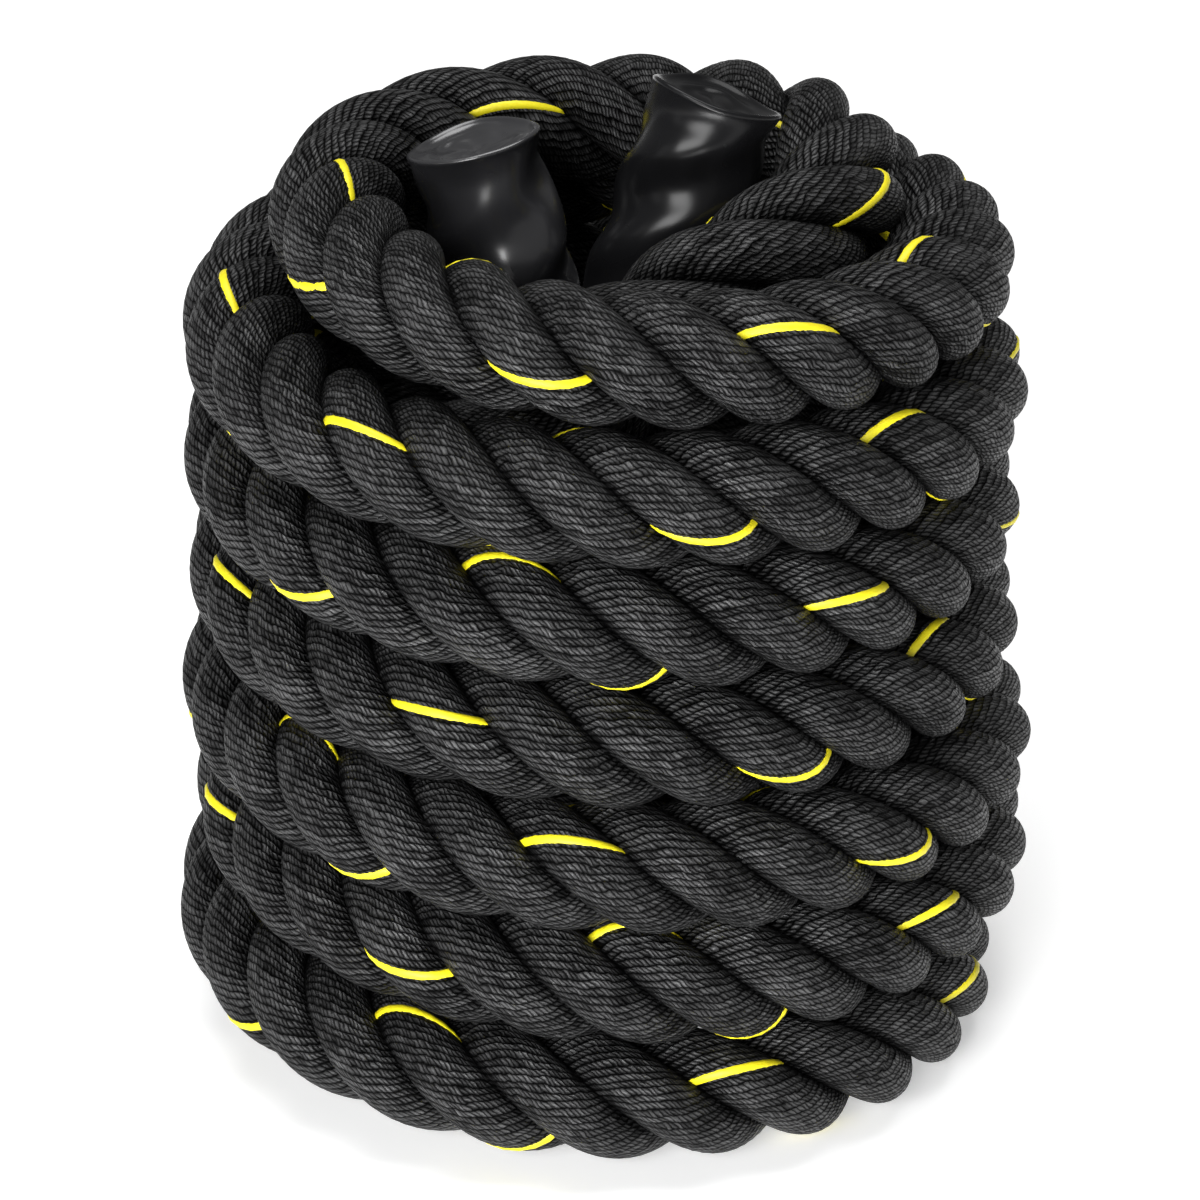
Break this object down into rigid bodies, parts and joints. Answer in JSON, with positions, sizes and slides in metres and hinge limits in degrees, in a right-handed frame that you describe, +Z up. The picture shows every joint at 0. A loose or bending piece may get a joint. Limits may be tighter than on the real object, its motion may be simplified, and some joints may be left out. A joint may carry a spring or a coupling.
{
  "type": "battle rope",
  "caption": "Black three-strand battle rope with a yellow tracer yarn, wound into a tall standing coil, both heat-shrink sleeved ends rising inside it.",
  "frame": {"origin": "centre of the coil's box, on the surface that the coil stands on", "axes": "+Z up along the coil's axis, -Y towards the side that the picture shows, +X to its right"},
  "size_m": [0.3344, 0.3346, 0.387],
  "materials": {
    "rope": "matte spun polyester yarn, with one yellow tracer yarn",
    "sleeve": "glossy shrunk plastic",
    "tape": "satin wound tape"
  },
  "bodies": {
    "root": {"rope_coil": "rope", "rope_inner_end_upper": "rope", "rope_inner_end_lower": "rope", "end_sleeve_upper": "sleeve", "end_sleeve_lower": "sleeve", "whipping_upper": "tape", "whipping_lower": "tape"}
  },
  "joints": []
}
